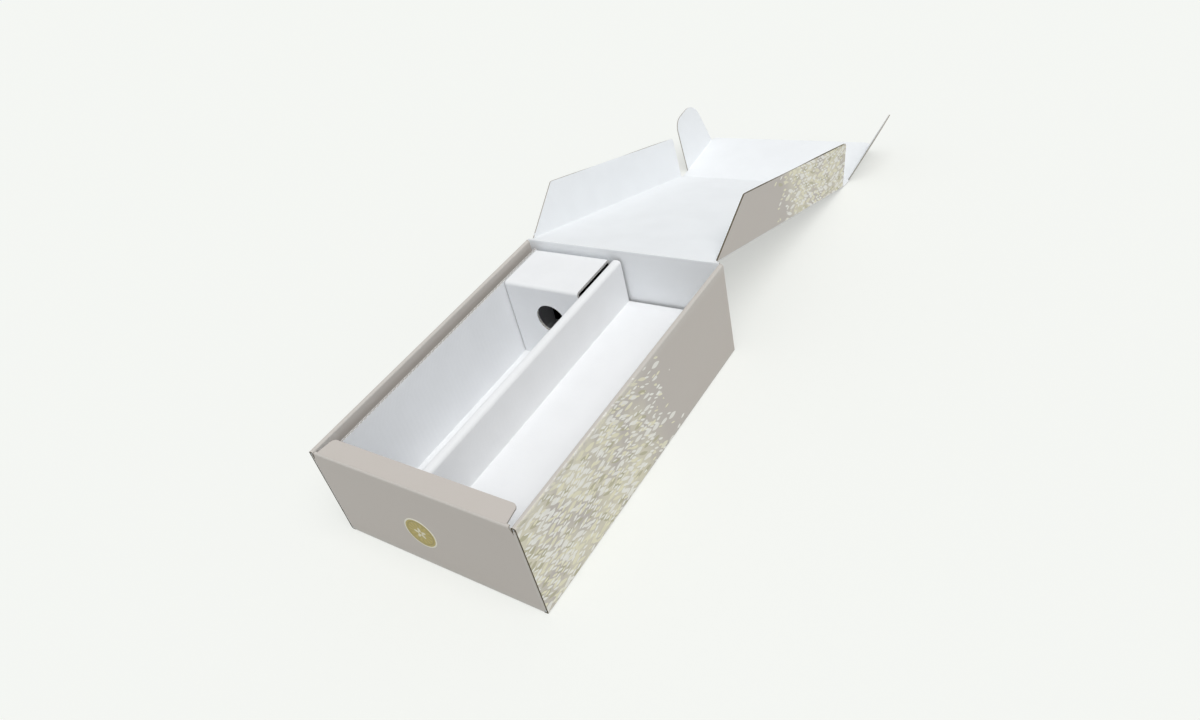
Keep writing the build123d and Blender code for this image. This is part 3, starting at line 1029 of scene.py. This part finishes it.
class CARTON_OT_insert(bpy.types.Operator):
    """Folds the white insert: side wall, bay floor, double divider, raised bed and leg"""

    bl_idname = "carton.insert"
    bl_label = "Insert"

    def execute(self, context):
        half = INSERT_BOARD / 2
        side = INSERT_HIGH[0] - half
        floor = INSERT_LOW[2] + half
        top = INSERT_HIGH[2]
        left, right, divider = DIVIDER_LEFT + half, DIVIDER_RIGHT - half, DIVIDER_TOP - half
        bed = BED_TOP - half
        corners = [(-side, top), (-side, floor), (left, floor), (left, divider), (right, divider)]
        corners += [(right, bed), (side, bed), (side, INSERT_LOW[2])]
        path, marks = rounded_path(corners, INSERT_FOLD, FINE_STEP)
        share = stations(0, 1, 1 / 46, (0.002, 0.006))
        grid = carried(path, share, 1)
        # The front edge slants back over the relief's height
        rise = np.maximum(path[:, 1] - (top - RELIEF_HEIGHT), 0)
        front = (INSERT_LOW[1] + rise * RELIEF_LENGTH / RELIEF_HEIGHT)[:, None]
        grid[..., 1] = front + (INSERT_HIGH[1] - front) * share
        insert = BoardMesh()
        insert.add_board(grid, INSERT_BOARD, (0, 1), marks, fluted=("first row", "last row"))
        fitted(insert.build("insert_board", insert_finishes()), "tray", "white_board", "bottle_insert")
        return {"FINISHED"}


class CARTON_OT_neck_support(bpy.types.Operator):
    """Folds the bridge at the end of the left bay and cuts its neck hole"""

    bl_idname = "carton.neck_support"
    bl_label = "Neck support"

    def execute(self, context):
        shapes = context.scene.carton_shapes
        half = INSERT_BOARD / 2
        left, right = SUPPORT_LOW[0], SUPPORT_HIGH[0]
        front, back = SUPPORT_LOW[1] + half, SUPPORT_HIGH[1] - half
        foot, top = SUPPORT_LOW[2], SUPPORT_HIGH[2] - half
        x, _, z = NECK_HOLE["pos_m"]
        low, high = foot - z, top - INSERT_FOLD - z
        support = BoardMesh()
        # The front panel runs along bearings from the hole's edge to the nearer of the sides they meet,
        # whose distance is divided by the bearing's cosine or sine
        corners = [atan2(rise, run) % (2 * pi) for rise in (low, high) for run in (left - x, right - x)]
        bearings = np.unique(np.append(np.linspace(0, 2 * pi, RING_POINTS, endpoint=False), corners))
        side, up = np.cos(bearings), np.sin(bearings)
        to_side = np.where(side > 0, right - x, left - x) / np.where(abs(side) < 1e-9, 1e-9, side)
        to_top = np.where(up > 0, high, low) / np.where(abs(up) < 1e-9, 1e-9, up)
        outer = np.minimum(abs(to_side), abs(to_top))
        share = stations(0, 1, 1 / 9, (0.02, 0.06))[:, None]
        away = NECK_RADIUS + (outer - NECK_RADIUS) * share
        panel = np.stack([x + away * side, np.full_like(away, front), z + away * up], axis=-1)
        support.add_board(panel, INSERT_BOARD, (0, 3), closed=True, fluted=("first row",))
        start = top - INSERT_FOLD + SUPPORT_SEAM
        corners = [(front, start), (front, top), (back, top), (back, foot)]
        path, marks = rounded_path(corners, INSERT_FOLD - 2 * SUPPORT_SEAM, FINE_STEP)
        across = stations(left, right, shapes.mesh_step, BORDERS)
        support.add_board(carried(path, across, 0), INSERT_BOARD, (3, 0), marks, fluted=("last row",))
        # The support's inside faces take the near-black painted shade
        finishes = [*insert_finishes(), Palette.get().support_inside]
        fitted(support.build("neck_support_board", finishes), "tray", "white_board", "neck_support")
        return {"FINISHED"}


class CARTON_OT_seal(bpy.types.Operator):
    """Sticks the round foil seal on the front wall, with a soft edge"""

    bl_idname = "carton.seal"
    bl_label = "Seal"

    def execute(self, context):
        radius = (SEAL_HIGH[0] - SEAL_LOW[0]) / 2
        centre = (SEAL_LOW + SEAL_HIGH) / 2
        bearings = np.linspace(0, 2 * pi, RING_POINTS, endpoint=False)
        away = radius * np.array(SEAL_RINGS)[:, None]
        face, back = SEAL_LOW[1], SEAL_HIGH[1]
        depth = np.full_like(away, face)
        depth[:3, 0] = back, back, face + SEAL_SHOULDER * (back - face)
        round_grid = centre[0] + away * np.cos(bearings), depth, centre[2] + away * np.sin(bearings)
        grid = np.stack(np.broadcast_arrays(*round_grid), axis=-1)
        seal = BoardMesh()
        seal.add(grid, grid[..., (0, 2)], 0, 0, closed=True)
        fitted(seal.build("seal_disc", [Palette.get().seal]), "tray", "gold_foil", "seal_sticker")
        return {"FINISHED"}


class CARTON_OT_stage(bpy.types.Operator):
    """Sets the pale floor, the soft light and the camera of the photograph"""

    bl_idname = "carton.stage"
    bl_label = "Stage"

    def execute(self, context):
        colours = context.scene.carton_colours
        self.floor(colours)
        self.light(context, colours)
        self.camera(context)
        context.scene.view_settings.view_transform = "Standard"
        return {"FINISHED"}

    def floor(self, colours):
        """A broad pale sheet just under the carton. Part of its seen paleness is a glow of its own."""
        finish = Finish.new("floor_paper")
        seen = finish.seen()
        shares = (FLOOR_BOUNCE, 1 - FLOOR_GLOW, FLOOR_GLOW)
        bounce, lit, glow = (tuple(part * share for part in colours.floor) for share in shares)
        paper = finish.surface(
            finish.mixed(seen, bounce, lit), 0.9, None, Specular_IOR_Level=0.0,
            Emission_Color=finish.mixed(seen, (0, 0, 0), glow), Emission_Strength=1.0)
        places = np.linspace(-FLOOR_REACH, FLOOR_REACH, 13)
        sheet = carried(np.stack([places, np.full_like(places, -FLOOR_DROP)], axis=1), places, 1)
        floor = BoardMesh()
        floor.add(sheet, sheet[..., :2], 0, 0, turn_over=True)
        floor.build("floor", [paper])

    def light(self, context, colours):
        """An even sky that the camera sees as the floor's colour, and one broad soft lamp."""
        world = bpy.data.worlds.new("studio")
        context.scene.world = world
        air = Finish(world)
        sky_inputs = {"Color": solid(SKY_COLOUR), "Strength": SKY_STRENGTH}
        sky = air.node("ShaderNodeBackground", None, sky_inputs)
        backdrop = air.node("ShaderNodeBackground", None, {"Color": solid(colours.floor)})
        both = air.node("ShaderNodeMixShader", None, {0: air.seen(), 1: sky, 2: backdrop})
        air.node("ShaderNodeOutputWorld", None, {"Surface": both})
        lamp = bpy.data.lights.new("key", "SUN")
        lamp.energy = KEY_STRENGTH
        lamp.angle = KEY_SPREAD
        lamp.color = KEY_COLOUR
        key = bpy.data.objects.new("key", lamp)
        key.rotation_euler = Vector(KEY_DIRECTION).to_track_quat("Z", "Y").to_euler()
        context.scene.collection.objects.link(key)

    def camera(self, context):
        """The matched camera, with the shift that the photograph's framing needs."""
        lens = bpy.data.cameras.new("camera")
        lens.lens = CAMERA_LENS
        lens.sensor_width = CAMERA_SENSOR
        lens.sensor_fit = "HORIZONTAL"
        lens.shift_x, lens.shift_y = CAMERA_SHIFT
        lens.clip_start = 0.01
        camera = bpy.data.objects.new("camera", lens)
        pose = np.eye(4)
        pose[:3, :3] = np.transpose([CAMERA_RIGHT, np.negative(CAMERA_DOWN), np.negative(CAMERA_FORWARD)])
        pose[:3, 3] = CAMERA_PLACE
        camera.matrix_world = Matrix(pose.tolist())
        context.scene.collection.objects.link(camera)
        context.scene.camera = camera


class CARTON_PT_sidebar(bpy.types.Panel):
    """Lists the carton's pieces, sizes and colours"""

    bl_idname = "CARTON_PT_sidebar"
    bl_label = "Bottle gift carton"
    bl_space_type = "VIEW_3D"
    bl_region_type = "UI"
    bl_category = "Carton"

    def draw(self, context):
        for operator in OPERATORS:
            self.layout.operator(operator.bl_idname)
        for group in (context.scene.carton_shapes, context.scene.carton_colours):
            for name in group.__annotations__:
                self.layout.prop(group, name)


OPERATORS = (
    CARTON_OT_tray,
    CARTON_OT_ledge,
    CARTON_OT_lid,
    CARTON_OT_flaps,
    CARTON_OT_creases,
    CARTON_OT_insert,
    CARTON_OT_neck_support,
    CARTON_OT_seal,
    CARTON_OT_stage,
)
CLASSES = (CartonShapes, CartonColours, *OPERATORS, CARTON_PT_sidebar)


def register():
    """Registers the classes and hangs the settings on the scene."""
    for item in CLASSES:
        bpy.utils.register_class(item)
    bpy.types.Scene.carton_shapes = PointerProperty(type=CartonShapes)
    bpy.types.Scene.carton_colours = PointerProperty(type=CartonColours)


def unregister():
    """Takes the settings and the classes away again."""
    del bpy.types.Scene.carton_colours
    del bpy.types.Scene.carton_shapes
    for item in reversed(CLASSES):
        bpy.utils.unregister_class(item)


def main():
    register()
    bpy.ops.carton.tray()
    bpy.ops.carton.ledge()
    bpy.ops.carton.lid()
    bpy.ops.carton.flaps()
    bpy.ops.carton.creases()
    bpy.ops.carton.insert()
    bpy.ops.carton.neck_support()
    bpy.ops.carton.seal()
    bpy.ops.carton.stage()


if __name__ == "__main__":
    main()
